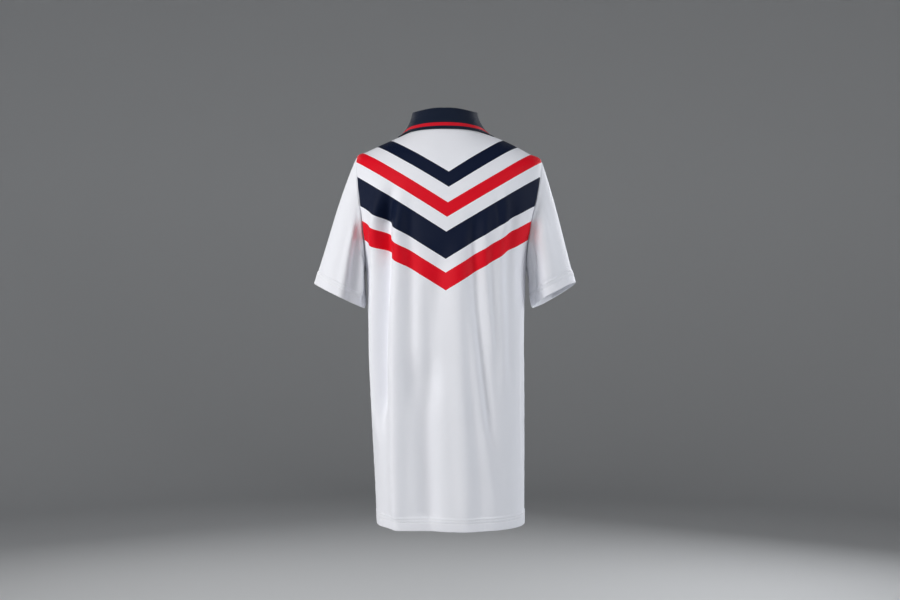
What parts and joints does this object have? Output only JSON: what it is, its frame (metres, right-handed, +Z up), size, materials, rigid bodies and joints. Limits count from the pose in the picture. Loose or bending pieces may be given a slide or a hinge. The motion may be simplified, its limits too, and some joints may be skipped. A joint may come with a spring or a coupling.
{
  "type": "short-sleeved cricket jersey",
  "caption": "Short-sleeved cricket jersey in its worn, hollow form: long knitted body, open cuffs and hem, and a fold-down collar on a V neck.",
  "frame": {"origin": "middle of the neck at the height where the cloth lies on the wearer's shoulders", "axes": "+Z up along the wearer's spine, +X to the wearer's left, -Y to the wearer's front"},
  "size_m": [0.508, 0.247, 0.7983],
  "materials": {
    "jersey_cloth": "smooth white polyester knit with a faint sheen, red and navy printed bands",
    "collar_rib": "matte navy rib knit with a red stripe near its edge"
  },
  "bodies": {
    "root": {"back": "jersey_cloth", "front": "jersey_cloth", "sleeve_left": "jersey_cloth", "sleeve_right": "jersey_cloth", "collar": "collar_rib"}
  },
  "joints": []
}
